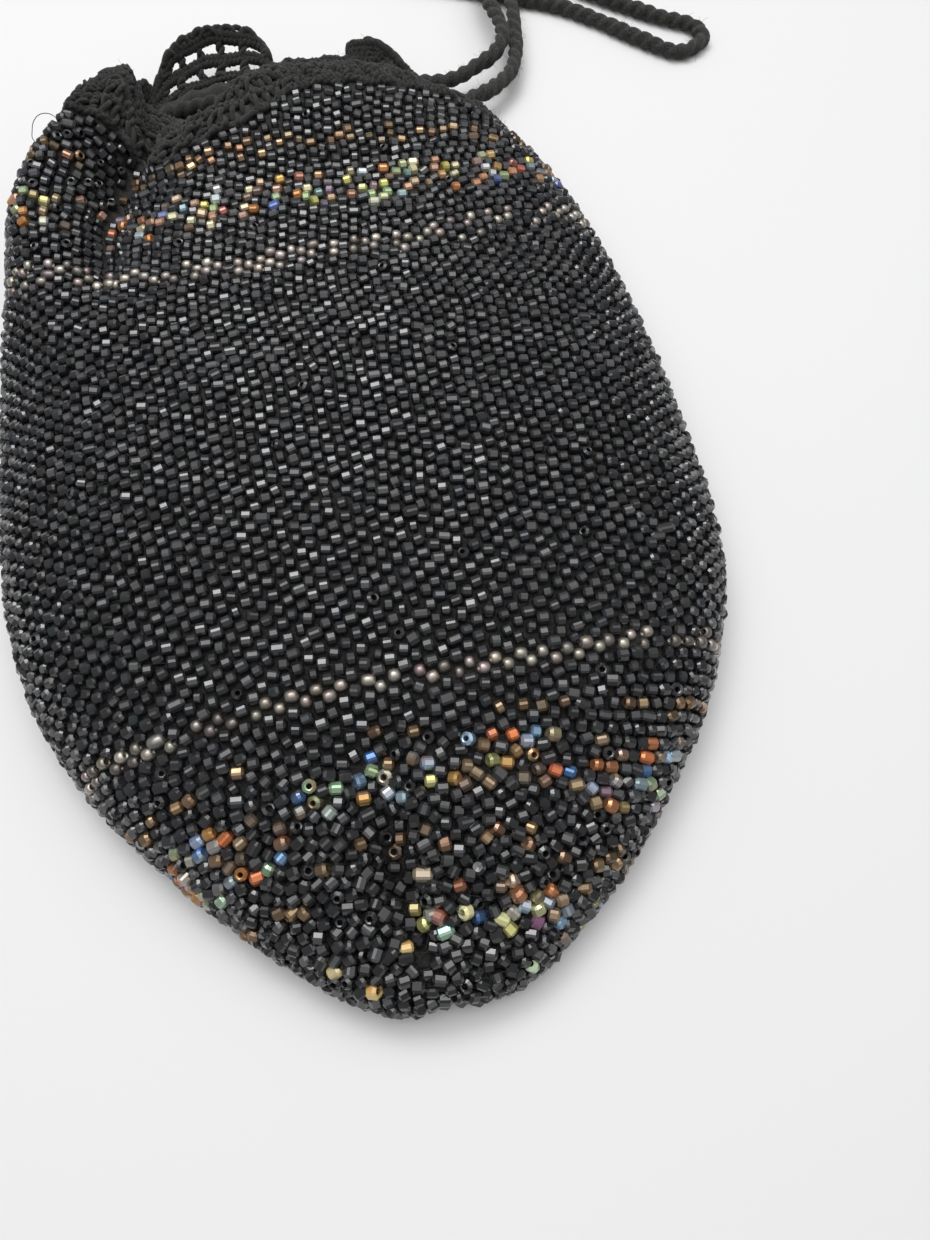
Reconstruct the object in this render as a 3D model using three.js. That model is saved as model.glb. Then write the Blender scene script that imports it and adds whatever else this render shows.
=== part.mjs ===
// Beaded drawstring reticule, lying on its back.
// Millimetres, +Z up. +Y runs from the tip of the pouch to its mouth, +X to the right.
// Row distance is measured along the beadwork from the tip, and angle round a row:
// 0 is the right side, 90 the front, 180 the left side and 270 the back that lies on the table.

import * as THREE from 'three';

// Driving sizes
const OVERALL_LENGTH = 207.1;
const SIDE_SHIFT = 0.25;
const POUCH_ROWS = 172;
const POUCH_WALL = 2.3;
const JOIN_GAP = 1;
const LACE_GAP = 1.0;
const HEADING_ROWS = 9;
const CORNER_ROWS = 4;
const CORNER_REACH = [0.55, 0.9];
const HEADING_WALL = 1.6;
const HEADING_INSET = 0.6;
const EDGE_THINNING = 0.55;
const RIB_COUNT = 32;
const RIB_DEPTH = 0.45;
const LACE_WALL = 1.3;
const LACE_STRIP = 2.0;
const CORD_DIAMETER = 3.8;
const CORD_SIDES = 10;
const CORD_ROW = 175.8;
const CORD_INSET = 5.8;
const RUN_FRONT = [55, 126];
const RUN_BACK = [230, 298];
const CORD_GAP = 0.3;
const STRAIGHT_OUT = 2.5;
const SECTION_FULLNESS = 0.12;
const UNDERSIDE_FLATNESS = 2.2;
const UNDERSIDE_ROUNDING = 0.35;

// Outline of the lying pouch at a distance y from the tip: half widths, height of the crest,
// height of the side line where the front turns to the back, and height of the underside.
const OUTLINE = [
  { y: 0, left: 0, right: 0, crest: 5, side: 5, floor: 5 },
  { y: 1.5, left: 7.6, right: 10, crest: 8, side: 4.9, floor: 2.6 },
  { y: 4, left: 12.6, right: 15.9, crest: 10.5, side: 4.9, floor: 1.1 },
  { y: 9, left: 19.3, right: 23, crest: 13, side: 5, floor: 0 },
  { y: 16, left: 27.3, right: 31.5, crest: 15.5, side: 5.3, floor: 0 },
  { y: 25, left: 35.8, right: 40, crest: 18.5, side: 5.8, floor: 0 },
  { y: 38, left: 46.6, right: 50, crest: 21.5, side: 6.3, floor: 0 },
  { y: 52, left: 54.3, right: 56.7, crest: 23.5, side: 6.8, floor: 0 },
  { y: 66, left: 58.8, right: 59.9, crest: 24, side: 7, floor: 0 },
  { y: 82, left: 60.6, right: 60.4, crest: 23.5, side: 7, floor: 0 },
  { y: 108, left: 61, right: 59.4, crest: 21.2, side: 6.5, floor: 0 },
  { y: 128, left: 60.5, right: 57.5, crest: 18.8, side: 6, floor: 0 },
  { y: 145, left: 59.5, right: 54.4, crest: 17, side: 5.6, floor: 0 },
  { y: 158, left: 58.2, right: 50.3, crest: 16.2, side: 5.5, floor: 0 },
  { y: 170, left: 52.5, right: 44, crest: 16.6, side: 5.5, floor: 0 },
  { y: 180, left: 43.5, right: 39, crest: 17, side: 5.5, floor: 0 },
  { y: 190, left: 38, right: 36.5, crest: 17, side: 6, floor: 0.7 },
  { y: 200, left: 36, right: 34.5, crest: 17, side: 7.5, floor: 3.6 },
  { y: 210, left: 35, right: 33, crest: 17, side: 9, floor: 6.6 },
];

// How far a row lags towards the tip at the left and right sides, and leads at the back
const ROW_LAG = [
  { row: 0, left: 0, right: 0, back: 0 },
  { row: 4, left: 1.6, right: 1.6, back: 0 },
  { row: 10, left: 4, right: 4, back: 0 },
  { row: 20, left: 7, right: 6.5, back: 0.5 },
  { row: 30, left: 8, right: 7, back: 1 },
  { row: 45, left: 3.5, right: 0, back: 2 },
  { row: 60, left: 2, right: -2, back: 3 },
  { row: 80, left: 1, right: -1.5, back: 4 },
  { row: 110, left: -2, right: -2, back: 6 },
  { row: 130, left: -7, right: -6, back: 8 },
  { row: 150, left: -7.5, right: -3, back: 10.5 },
  { row: 172, left: -3, right: 4.5, back: 13.5 },
  { row: 187, left: -3, right: 6, back: 16 },
];

// Folds of the front: angle and half spread round the row, lift in z and in y,
// and the rows over which the fold grows from nothing to its full size, or fades again.
const FOLDS = [
  { angle: 124, spread: 9, lift: -4.2, shift: 0, from: 118, full: 165, fade: 400 },
  { angle: 122, spread: 15, lift: 0, shift: -4, from: 128, full: 172, fade: 400 },
  { angle: 151, spread: 19, lift: 8, shift: 0, from: 105, full: 165, fade: 400 },
  { angle: 97, spread: 7, lift: -2.2, shift: 0, from: 4, full: 12, fade: 34 },
];
const FADE_LENGTH = 16;

// Shares of the half width and half height over which the sides lag and the back leads
const SIDE_REACH = [0.2, 0.88];
const BACK_REACH = [0.4, 1];

// Stretches of mesh columns round the pouch, finer where the front folds
const COLUMN_STRETCHES = [
  { from: 0, to: 30, count: 4 },
  { from: 30, to: 88, count: 7 },
  { from: 88, to: 106, count: 5 },
  { from: 106, to: 172, count: 18 },
  { from: 172, to: 188, count: 3 },
  { from: 188, to: 216, count: 9 },
  { from: 216, to: 300, count: 6 },
  { from: 300, to: 360, count: 10 },
];
const POUCH_RINGS = [2, 5, 9, 14, 20, 27, 35, 44, 54, 66, 80, 95, 110, 121, 131, 141, 150, 158, 165, POUCH_ROWS];
const FIRST_INNER_RING = 3;
const INNER_TIP = { y: 9, z: 5.6 };

// Scallops of the lace: angles where each begins and ends, height, and how far it rolls inwards
const SCALLOPS = [
  { from: 56, to: 87, height: 11, roll: 270 },
  { from: 87, to: 118, height: 12, roll: 250 },
  { from: 126, to: 154, height: 9, roll: 60 },
  { from: 160, to: 193, height: 6, roll: 200 },
  { from: 193, to: 224, height: 10, roll: 90 },
  { from: 224, to: 268, height: 12.5, roll: 50 },
  { from: 291, to: 325, height: 9.5, roll: 40 },
];
const SCALLOP_GAPS = 6;
const GAP_TO_BAR = 2.4;
const PLAIN_CELL = 5;
const LACE_END = 329;
const LACE_LEVELS = [0, 0.14, 0.36, 0.52, 0.8, 1];
const LOWER_GAP_LEVEL = 1;
const UPPER_GAP_LEVEL = 3;

// The cord in the left corner of the mouth, which it cuts because it is drawn taut
const RUN_CORNER = [
  { x: -31, y: 175.8, z: 7 },
  { x: -34, y: 178.4, z: 7 },
  { x: -34, y: 181.4, z: 7 },
  { x: -31, y: 184, z: 6.8 },
];

// Route of the free loop from the back strand, round the bight, to the front strand
const LOOP_ROUTE = [
  { x: 37, y: 187.4, z: 5.4 },
  { x: 42.5, y: 189.6, z: 5.9 },
  { x: 47, y: 191.6, z: 6.8 },
  { x: 49.9, y: 195.4, z: 7.6 },
  { x: 50.2, y: 201.4, z: 7.6 },
  { x: 49.4, y: 207.4, z: 7.4 },
  { x: 49, y: 214, z: 6.6 },
  { x: 49.2, y: 226, z: 6.4 },
  { x: 46.4, y: 238.6, z: 4.4 },
  { x: 38.5, y: 245.4, z: 2.3 },
  { x: 31.4, y: 242, z: 2 },
  { x: 33, y: 234.2, z: 2 },
  { x: 42.2, y: 229.4, z: 2 },
  { x: 56, y: 224.8, z: 2 },
  { x: 69.2, y: 219.2, z: 2 },
  { x: 75.3, y: 213.9, z: 2 },
  { x: 81.3, y: 209, z: 2 },
  { x: 89.3, y: 202.7, z: 2 },
  { x: 96.3, y: 197.8, z: 2 },
  { x: 96.8, y: 193.4, z: 2 },
  { x: 90.5, y: 190.4, z: 2 },
  { x: 82.8, y: 196.5, z: 2 },
  { x: 75.2, y: 204, z: 2 },
  { x: 66.5, y: 211.3, z: 2 },
  { x: 57.8, y: 215.6, z: 2 },
  { x: 46.3, y: 221.2, z: 2 },
  { x: 34.8, y: 226, z: 2 },
  { x: 26, y: 233, z: 2 },
  { x: 26.2, y: 244.8, z: 2 },
  { x: 36.5, y: 252, z: 2.1 },
  { x: 48.7, y: 248.4, z: 3.2 },
  { x: 53.8, y: 236.5, z: 5 },
  { x: 54, y: 222, z: 6.3 },
  { x: 54.6, y: 212.5, z: 6.2 },
  { x: 54.7, y: 207, z: 5.8 },
  { x: 54, y: 201.6, z: 5.2 },
  { x: 53, y: 195.2, z: 4.7 },
  { x: 50.4, y: 188.2, z: 4.9 },
  { x: 47.6, y: 185, z: 5.2 },
  { x: 44, y: 182.2, z: 5.5 },
  { x: 39.5, y: 180.2, z: 5.8 },
];
const LOOP_STEPS = 72;
const RUN_FRONT_PARTS = 10;
const RUN_BACK_PARTS = 9;
const RUN_STEPS = 48;

const RADIANS = Math.PI / 180;

function smoothStep(from, to, value) {
  const t = THREE.MathUtils.clamp((value - from) / (to - from), 0, 1);
  return t * t * (3 - 2 * t);
}

// Slope of a table column at one of its rows
function columnSlope(table, key, column, index) {
  const before = table[Math.max(index - 1, 0)];
  const after = table[Math.min(index + 1, table.length - 1)];
  return (after[column] - before[column]) / (after[key] - before[key]);
}

// Value of a table column between its rows, on a smooth curve
function readColumn(table, key, column, value) {
  let index = 0;
  while (index < table.length - 2 && table[index + 1][key] <= value) index += 1;
  const low = table[index];
  const high = table[index + 1];
  const span = high[key] - low[key];
  const t = (value - low[key]) / span;
  const lowSlope = columnSlope(table, key, column, index) * span;
  const highSlope = columnSlope(table, key, column, index + 1) * span;
  const rise = t * t * (3 - 2 * t);
  return low[column] * (1 - rise) + high[column] * rise
    + lowSlope * t * (1 - t) ** 2 + highSlope * t * t * (t - 1);
}

function bell(angle, centre, spread) {
  return Math.exp(-(((angle - centre) / spread) ** 2));
}

// Height of the underside as a share of the side line: it falls, rounds off and then lies flat
function undersideShare(fall) {
  if (fall <= -UNDERSIDE_ROUNDING) return 0;
  if (fall >= UNDERSIDE_ROUNDING) return fall;
  return (fall + UNDERSIDE_ROUNDING) ** 2 / (4 * UNDERSIDE_ROUNDING);
}

// Point of the outer surface at an angle round the row and a row distance
function surfacePoint(angle, row) {
  const turn = ((angle % 360) + 360) % 360;
  const cosine = Math.cos(turn * RADIANS);
  const sine = Math.sin(turn * RADIANS);
  const side = cosine >= 0 ? 'right' : 'left';
  const lag = readColumn(ROW_LAG, 'row', side, row);
  const lead = readColumn(ROW_LAG, 'row', 'back', row);
  const backShare = smoothStep(...BACK_REACH, -sine);
  const sideShare = smoothStep(...SIDE_REACH, Math.abs(cosine)) * (1 - backShare);
  let y = row - lag * sideShare + lead * backShare;
  let lift = 0;
  const front = smoothStep(0, 0.3, sine);
  for (const fold of FOLDS) {
    const grown = smoothStep(fold.from, fold.full, row) * (1 - smoothStep(fold.fade, fold.fade + FADE_LENGTH, row));
    const share = grown * front * bell(turn, fold.angle, fold.spread);
    lift += fold.lift * share;
    y += fold.shift * share;
  }
  const halfWidth = readColumn(OUTLINE, 'y', side, row - lag);
  const x = halfWidth * cosine * (1 + SECTION_FULLNESS * sine ** 2);
  const sideHeight = readColumn(OUTLINE, 'y', 'side', y);
  const crest = readColumn(OUTLINE, 'y', 'crest', y);
  const floor = Math.max(0, readColumn(OUTLINE, 'y', 'floor', y));
  const fullSine = sine * (1 + SECTION_FULLNESS * cosine ** 2);
  if (sine >= 0) return new THREE.Vector3(x, y, sideHeight + (crest - sideHeight) * fullSine + lift);
  return new THREE.Vector3(x, y, floor + (sideHeight - floor) * undersideShare(1 + UNDERSIDE_FLATNESS * fullSine));
}

// Directions at a surface point: along the rows' distance, round the row, and out of the surface
function surfaceFrame(angle, row) {
  const step = 0.5;
  const along = surfacePoint(angle, row + step).sub(surfacePoint(angle, row - step)).normalize();
  const round = surfacePoint(angle + step, row).sub(surfacePoint(angle - step, row)).normalize();
  const out = new THREE.Vector3().crossVectors(along, round).normalize();
  return { point: surfacePoint(angle, row), along, round, out };
}

function insetPoint(angle, row, depth) {
  const { point, out } = surfaceFrame(angle, row);
  return point.addScaledVector(out, -depth);
}

// Angles that part one row into equal lengths
function evenAngles(row, count, from = 0, to = 360) {
  const samples = 720;
  const lengths = [0];
  let last = surfacePoint(from, row);
  for (let index = 1; index <= samples; index += 1) {
    const next = surfacePoint(from + ((to - from) * index) / samples, row);
    lengths.push(lengths[index - 1] + next.distanceTo(last));
    last = next;
  }
  const angles = [];
  let index = 0;
  for (let part = 0; part <= count; part += 1) {
    const wanted = (lengths[samples] * part) / count;
    while (index < samples - 1 && lengths[index + 1] < wanted) index += 1;
    const t = (wanted - lengths[index]) / (lengths[index + 1] - lengths[index]);
    angles.push(from + ((to - from) * (index + t)) / samples);
  }
  return angles;
}

// Collects triangles between points and makes a geometry of them
class FaceList {
  constructor() {
    this.positions = [];
    this.faces = [];
  }

  addPoint(point) {
    this.positions.push(point.x, point.y, point.z);
    return this.positions.length / 3 - 1;
  }

  addRings(rings) {
    return rings.map((ring) => ring.map((point) => this.addPoint(point)));
  }

  addQuad(a, b, c, d) {
    this.faces.push(a, b, c, a, c, d);
  }

  geometry() {
    const geometry = new THREE.BufferGeometry();
    geometry.setAttribute('position', new THREE.Float32BufferAttribute(this.positions, 3));
    geometry.setIndex(this.faces);
    geometry.computeVertexNormals();
    return geometry;
  }
}

// Closed wall between an outer and an inner set of rings. With tips the far end closes in a point.
function wallGeometry(outerRings, innerRings, tips = null) {
  const list = new FaceList();
  const outer = list.addRings(outerRings);
  const inner = list.addRings(innerRings);
  const columns = outer[0].length;
  for (let column = 0; column < columns; column += 1) {
    const next = (column + 1) % columns;
    for (let ring = 0; ring < outer.length - 1; ring += 1) {
      list.addQuad(outer[ring][column], outer[ring + 1][column], outer[ring + 1][next], outer[ring][next]);
    }
    for (let ring = 0; ring < inner.length - 1; ring += 1) {
      list.addQuad(inner[ring][next], inner[ring + 1][next], inner[ring + 1][column], inner[ring][column]);
    }
    const outerRim = outer[outer.length - 1];
    const innerRim = inner[inner.length - 1];
    list.addQuad(outerRim[column], innerRim[column], innerRim[next], outerRim[next]);
    if (!tips) list.addQuad(outer[0][next], inner[0][next], inner[0][column], outer[0][column]);
  }
  if (tips) {
    const outerTip = list.addPoint(tips.outer);
    const innerTip = list.addPoint(tips.inner);
    for (let column = 0; column < columns; column += 1) {
      const next = (column + 1) % columns;
      list.faces.push(outerTip, outer[0][column], outer[0][next]);
      list.faces.push(innerTip, inner[0][next], inner[0][column]);
    }
  }
  return list.geometry();
}

// Hollow beaded pouch, closed at the tip and open at the mouth
function pouchGeometry() {
  const angles = COLUMN_STRETCHES.flatMap(({ from, to, count }) =>
    Array.from({ length: count }, (_, index) => from + ((to - from) * index) / count));
  const outer = POUCH_RINGS.map((row) => angles.map((angle) => surfacePoint(angle, row)));
  const inner = POUCH_RINGS.slice(FIRST_INNER_RING).map((row) =>
    angles.map((angle) => insetPoint(angle, row, POUCH_WALL)));
  const tips = { outer: surfacePoint(90, 0), inner: new THREE.Vector3(0, INNER_TIP.y, INNER_TIP.z) };
  return wallGeometry(outer, inner, tips);
}

// Rows of the heading at an angle: it is bunched low at the right corner, where the cord comes out
function headingRows(angle) {
  const corner = smoothStep(...CORNER_REACH, Math.cos(angle * RADIANS));
  return THREE.MathUtils.lerp(HEADING_ROWS, CORNER_ROWS, corner);
}

// Plain crocheted band above the beads, drawn into ribs. Its wall thins at the edge that meets the beads.
function headingGeometry() {
  const columns = RIB_COUNT * 4;
  const shares = [0, 1 / 3, 2 / 3, 1];
  const angles = evenAngles(POUCH_ROWS + HEADING_ROWS / 2, columns).slice(0, columns);
  const ring = (share, wall) => angles.map((angle, index) => {
    const rib = RIB_DEPTH * Math.cos((index / 4) * 2 * Math.PI);
    const row = POUCH_ROWS + JOIN_GAP + share * headingRows(angle);
    const depth = share > 0 ? wall : wall * EDGE_THINNING;
    return insetPoint(angle, row, HEADING_INSET + depth - rib);
  });
  return wallGeometry(shares.map((share) => ring(share, 0)), shares.map((share) => ring(share, HEADING_WALL)));
}

// Columns of the lace round the mouth: bars and gaps across each scallop, plain cells between.
// The strip ends at the right corner, where the cord comes out.
function laceCells() {
  const cells = [];
  SCALLOPS.forEach((scallop, index) => {
    const units = SCALLOP_GAPS * GAP_TO_BAR + SCALLOP_GAPS + 1;
    let passed = 0;
    for (let cell = 0; cell < 2 * SCALLOP_GAPS + 1; cell += 1) {
      const across = (2 * passed) / units - 1;
      cells.push({ angle: scallop.from + ((scallop.to - scallop.from) * passed) / units, across, scallop, cell });
      passed += cell % 2 ? GAP_TO_BAR : 1;
    }
    const next = index + 1 < SCALLOPS.length ? SCALLOPS[index + 1].from : LACE_END;
    const plain = Math.round((next - scallop.to) / PLAIN_CELL);
    for (let cell = 0; cell < plain; cell += 1) {
      const angle = scallop.to + ((next - scallop.to) * cell) / plain;
      cells.push({ angle, across: 1, scallop, cell: -1 });
    }
  });
  cells.push({ angle: LACE_END, across: 1, scallop: SCALLOPS.at(-1), cell: -1 });
  return cells;
}

// Points of one lace column from the heading to the scallop's edge, on the outer and inner face
function laceColumn({ angle, across, scallop }) {
  const row = POUCH_ROWS + JOIN_GAP + headingRows(angle) + LACE_GAP;
  const { point, along, out } = surfaceFrame(angle, row);
  const inward = out.clone().negate();
  const base = point.addScaledVector(inward, HEADING_INSET + HEADING_WALL / 2);
  const bulge = Math.sqrt(Math.max(0, 1 - across ** 2));
  const height = LACE_STRIP + (scallop.height - LACE_STRIP) * bulge;
  const bend = (scallop.roll * RADIANS * bulge) / scallop.height;
  const outer = [];
  const inner = [];
  for (const level of LACE_LEVELS) {
    const reach = level * height;
    const turn = bend * reach;
    const forward = bend > 1e-6 ? Math.sin(turn) / bend : reach;
    const sideways = bend > 1e-6 ? (1 - Math.cos(turn)) / bend : 0;
    const middle = base.clone().addScaledVector(along, forward).addScaledVector(inward, sideways);
    const across2 = inward.clone().multiplyScalar(Math.cos(turn)).addScaledVector(along, -Math.sin(turn));
    outer.push(middle.clone().addScaledVector(across2, -LACE_WALL / 2));
    inner.push(middle.clone().addScaledVector(across2, LACE_WALL / 2));
  }
  return { outer, inner };
}

function isGap({ cell }, level) {
  if (cell < 0 || cell % 2 === 0) return false;
  if (level === LOWER_GAP_LEVEL) return true;
  return level === UPPER_GAP_LEVEL && cell > 1 && cell < 2 * SCALLOP_GAPS - 1;
}

// Scalloped edging round the mouth, pierced by two rows of gaps
function laceGeometry() {
  const list = new FaceList();
  const cells = laceCells();
  const columns = cells.map(laceColumn);
  const outer = list.addRings(columns.map((column) => column.outer));
  const inner = list.addRings(columns.map((column) => column.inner));
  const levels = LACE_LEVELS.length - 1;
  const count = cells.length - 1;
  const solid = (column, level) =>
    column >= 0 && column < count && level >= 0 && level < levels && !isGap(cells[column], level);
  for (let column = 0; column < count; column += 1) {
    const next = column + 1;
    for (let level = 0; level < levels; level += 1) {
      if (!solid(column, level)) continue;
      const corners = [[column, level], [column, level + 1], [next, level + 1], [next, level]];
      const face = corners.map(([c, l]) => outer[c][l]);
      const back = corners.map(([c, l]) => inner[c][l]);
      list.addQuad(...face);
      list.addQuad(...back.slice().reverse());
      const neighbours = [[column - 1, level], [column, level + 1], [column + 1, level], [column, level - 1]];
      neighbours.forEach(([c, l], edge) => {
        if (solid(c, l)) return;
        const end = (edge + 1) % 4;
        list.addQuad(face[edge], back[edge], back[end], face[end]);
      });
    }
  }
  return list.geometry();
}

// Round cord along a list of points
function cordGeometry(points, steps) {
  const section = new THREE.Shape();
  for (let side = 0; side < CORD_SIDES; side += 1) {
    const turn = (side / CORD_SIDES) * 2 * Math.PI;
    const x = (CORD_DIAMETER / 2) * Math.cos(turn);
    const y = (CORD_DIAMETER / 2) * Math.sin(turn);
    if (side === 0) section.moveTo(x, y);
    else section.lineTo(x, y);
  }
  section.closePath();
  const path = new THREE.CatmullRomCurve3(points, false, 'centripetal');
  return new THREE.ExtrudeGeometry(section, { steps, extrudePath: path, bevelEnabled: false, curveSegments: 1 });
}

// Middle line of the cord along the inside of the heading, from the front strand to the back strand
function runPoints() {
  const along = ([from, to], parts) =>
    evenAngles(CORD_ROW, parts, from, to).map((angle) => insetPoint(angle, CORD_ROW, CORD_INSET));
  const corner = RUN_CORNER.map(({ x, y, z }) => new THREE.Vector3(x, y, z));
  return [...along(RUN_FRONT, RUN_FRONT_PARTS), ...corner, ...along(RUN_BACK, RUN_BACK_PARTS)];
}

// Points straight out of an end of the run, where a strand of the loop meets it
function strandStart(end, before) {
  const outward = end.clone().sub(before).normalize();
  return [CORD_GAP, STRAIGHT_OUT].map((reach) => end.clone().addScaledVector(outward, reach));
}

// Middle line of the free loop
function loopPoints() {
  const run = runPoints();
  const last = run.length - 1;
  const backStrand = strandStart(run[last], run[last - 1]);
  const frontStrand = strandStart(run[0], run[1]);
  const route = LOOP_ROUTE.map(({ x, y, z }) => new THREE.Vector3(x, y, z));
  return [...backStrand, ...route, ...frontStrand.reverse()];
}

function addPiece(group, name, geometry, color, roughness, metalness) {
  const material = new THREE.MeshStandardMaterial({ color, roughness, metalness });
  const mesh = new THREE.Mesh(geometry, material);
  mesh.name = name;
  group.add(mesh);
}

const reticule = new THREE.Group();
reticule.position.set(SIDE_SHIFT, -OVERALL_LENGTH / 2, 0);
addPiece(reticule, 'pouch', pouchGeometry(), 0x1c1d22, 0.25, 0.1);
addPiece(reticule, 'heading', headingGeometry(), 0x222223, 0.9, 0);
addPiece(reticule, 'lace_edge', laceGeometry(), 0x242425, 0.9, 0);
addPiece(reticule, 'drawstring_run', cordGeometry(runPoints(), RUN_STEPS), 0x2a2a2b, 0.85, 0);
addPiece(reticule, 'drawstring_loop', cordGeometry(loopPoints(), LOOP_STEPS), 0x2a2a2b, 0.85, 0);

export default reticule;
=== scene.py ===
"""Beaded drawstring reticule lying on its back: glass beads, crochet and twisted cord.

Sizes are in millimetres in the bag's own frame until a mesh is made: y runs from the tip of the pouch
to its mouth, x to the right and z up. Row distance is measured along the beadwork from the tip, and
angle round a row: 0 is the right side, 90 the front, 180 the left side and 270 the back.
"""

import math

import bpy
import numpy as np
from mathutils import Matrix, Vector, kdtree


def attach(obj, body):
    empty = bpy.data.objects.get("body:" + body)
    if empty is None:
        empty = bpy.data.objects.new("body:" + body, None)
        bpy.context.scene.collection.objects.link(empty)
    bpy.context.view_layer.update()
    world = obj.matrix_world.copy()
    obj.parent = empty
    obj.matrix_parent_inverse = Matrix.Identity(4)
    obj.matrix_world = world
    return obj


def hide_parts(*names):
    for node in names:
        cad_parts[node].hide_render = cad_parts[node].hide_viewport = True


BODY = "root"
MILLIMETRE = 0.001
BAG_SHIFT = np.array([0.25, -103.55, 0.0])
FULL_TURN = 2 * np.pi
TINY = 1e-9
SMALL = 1e-6

# Camera: the photograph's viewing angle, with the aim point in the bag's frame
CAMERA_AIM = np.array([13.2, 54.5, 18.0])
CAMERA_DISTANCE = 147.0
CAMERA_AZIMUTH = -11.3
CAMERA_ELEVATION = 67.0
CAMERA_LENS = 27.87
CAMERA_NEAR = 10.0

# Pouch, heading and lace
POUCH_ROWS = 172.0
POUCH_WALL = 2.3
JOIN_GAP = 1.0
LACE_GAP = 1.0
HEADING_ROWS = 9.0
HEADING_MIDDLE = POUCH_ROWS + HEADING_ROWS / 2
CORNER_ROWS = 4.0
CORNER_REACH = (0.55, 0.9)
HEADING_INSET = 0.6
HEADING_WALL = 1.6
RIB_COUNT = 32
RIB_DEPTH = 0.45
NOTCH_GATHER = 2.2
LACE_STRIP = 2.0
LACE_END = 329.0
SECTION_FULLNESS = 0.12
UNDERSIDE_FLATNESS = 2.2
UNDERSIDE_ROUNDING = 0.35
SIDE_REACH = (0.2, 0.88)
BACK_REACH = (0.4, 1.0)
FRONT_REACH = (0.0, 0.3)
FADE_LENGTH = 16.0
AROUND = np.linspace(0, 360, 721)

# Columns: y from the tip, left half width, right half width, crest, side line, underside
OUTLINE = np.array([
    (0, 0, 0, 5, 5, 5),
    (1.5, 7.6, 10, 8, 4.9, 2.6),
    (4, 12.6, 15.9, 10.5, 4.9, 1.1),
    (9, 19.3, 23, 13, 5, 0),
    (16, 27.3, 31.5, 15.5, 5.3, 0),
    (25, 35.8, 40, 18.5, 5.8, 0),
    (38, 46.6, 50, 21.5, 6.3, 0),
    (52, 54.3, 56.7, 23.5, 6.8, 0),
    (66, 58.8, 59.9, 24, 7, 0),
    (82, 60.6, 60.4, 23.5, 7, 0),
    (108, 61, 59.4, 21.2, 6.5, 0),
    (128, 60.5, 57.5, 18.8, 6, 0),
    (145, 59.5, 54.4, 17, 5.6, 0),
    (158, 58.2, 50.3, 16.2, 5.5, 0),
    (170, 52.5, 44, 16.6, 5.5, 0),
    (180, 43.5, 39, 17, 5.5, 0),
    (190, 38, 36.5, 17, 6, 0.7),
    (200, 36, 34.5, 17, 7.5, 3.6),
    (210, 35, 33, 17, 9, 6.6),
], float)
OUT_LEFT, OUT_RIGHT, OUT_CREST, OUT_SIDE, OUT_FLOOR = range(1, 6)

# Columns: row, lag at the left side, lag at the right side, lead at the back
ROW_LAG = np.array([
    (0, 0, 0, 0),
    (4, 1.6, 1.6, 0),
    (10, 4, 4, 0),
    (20, 7, 6.5, 0.5),
    (30, 8, 7, 1),
    (45, 3.5, 0, 2),
    (60, 2, -2, 3),
    (80, 1, -1.5, 4),
    (110, -2, -2, 6),
    (130, -7, -6, 8),
    (150, -7.5, -3, 10.5),
    (172, -3, 4.5, 13.5),
    (187, -3, 6, 16),
], float)
LAG_LEFT, LAG_RIGHT, LEAD_BACK = range(1, 4)

# Folds of the front: angle, half spread, lift in z, shift in y, rows where it grows, is full and fades
FOLDS = (
    (124, 9, -4.2, 0, 118, 165, 400),
    (122, 15, 0, -4, 128, 172, 400),
    (151, 19, 8, 0, 105, 165, 400),
    (97, 7, -2.2, 0, 4, 12, 34),
    (127, 3.2, -2.4, 0, 122, 142, 170),
)

# Cord: the held run's stretches, with angles from and to and number of parts, and the free loop's route
CORD_DIAMETER = 3.8
CORD_ROW = 175.8
CORD_INSET = 5.8
CORD_GAP = 0.3
STRAIGHT_OUT = 2.5
RUN_STRETCHES = ((55, 126, 10), (230, 298, 9))
RUN_CORNER = ((-31, 175.8, 7), (-34, 178.4, 7), (-34, 181.4, 7), (-31, 184, 6.8))
LOOP_ROUTE = (
    (37, 187.4, 5.4), (42.5, 189.6, 5.9), (47, 191.6, 6.8), (49.9, 195.4, 7.6), (50.2, 201.4, 7.6),
    (49.4, 207.4, 7.4), (49, 214, 6.6), (49.2, 226, 6.4), (46.4, 238.6, 4.4), (38.5, 245.4, 2.3),
    (31.4, 242, 2), (33, 234.2, 2), (42.2, 229.4, 2), (56, 224.8, 2), (69.2, 219.2, 2), (75.3, 213.9, 2),
    (81.3, 209, 2), (89.3, 202.7, 2), (96.3, 197.8, 2), (96.8, 193.4, 2), (90.5, 190.4, 2),
    (82.8, 196.5, 2), (75.2, 204, 2), (66.5, 211.3, 2), (57.8, 215.6, 2), (46.3, 221.2, 2), (34.8, 226, 2),
    (26, 233, 2), (26.2, 244.8, 2), (36.5, 252, 2.1), (48.7, 248.4, 3.2), (53.8, 236.5, 5), (54, 222, 6.3),
    (54.6, 212.5, 6.2), (54.7, 207, 5.8), (54, 201.6, 5.2), (53, 195.2, 4.7), (50.4, 188.2, 4.9),
    (47.6, 185, 5.2), (44, 182.2, 5.5), (39.5, 180.2, 5.8),
)
SPLINE_STEPS = 40
CORD_LAY = -6.0
CORD_GROOVE = 0.6
CORD_ROUNDNESS = 0.8
CORD_SLIM = 0.87
CORD_STEP = 0.5
CORD_SIDES = 26
CORD_YARNS = 9
YARN_DEPTH = 0.035
YARN_LAY = 9.0
HELD_FUZZ = 400
FREE_FUZZ = 1700

# Slow changes of the cord's thickness: depth, length and phase
CORD_WOBBLES = ((0.04, 3.1, 0), (0.03, 1.3, 2))

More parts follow.
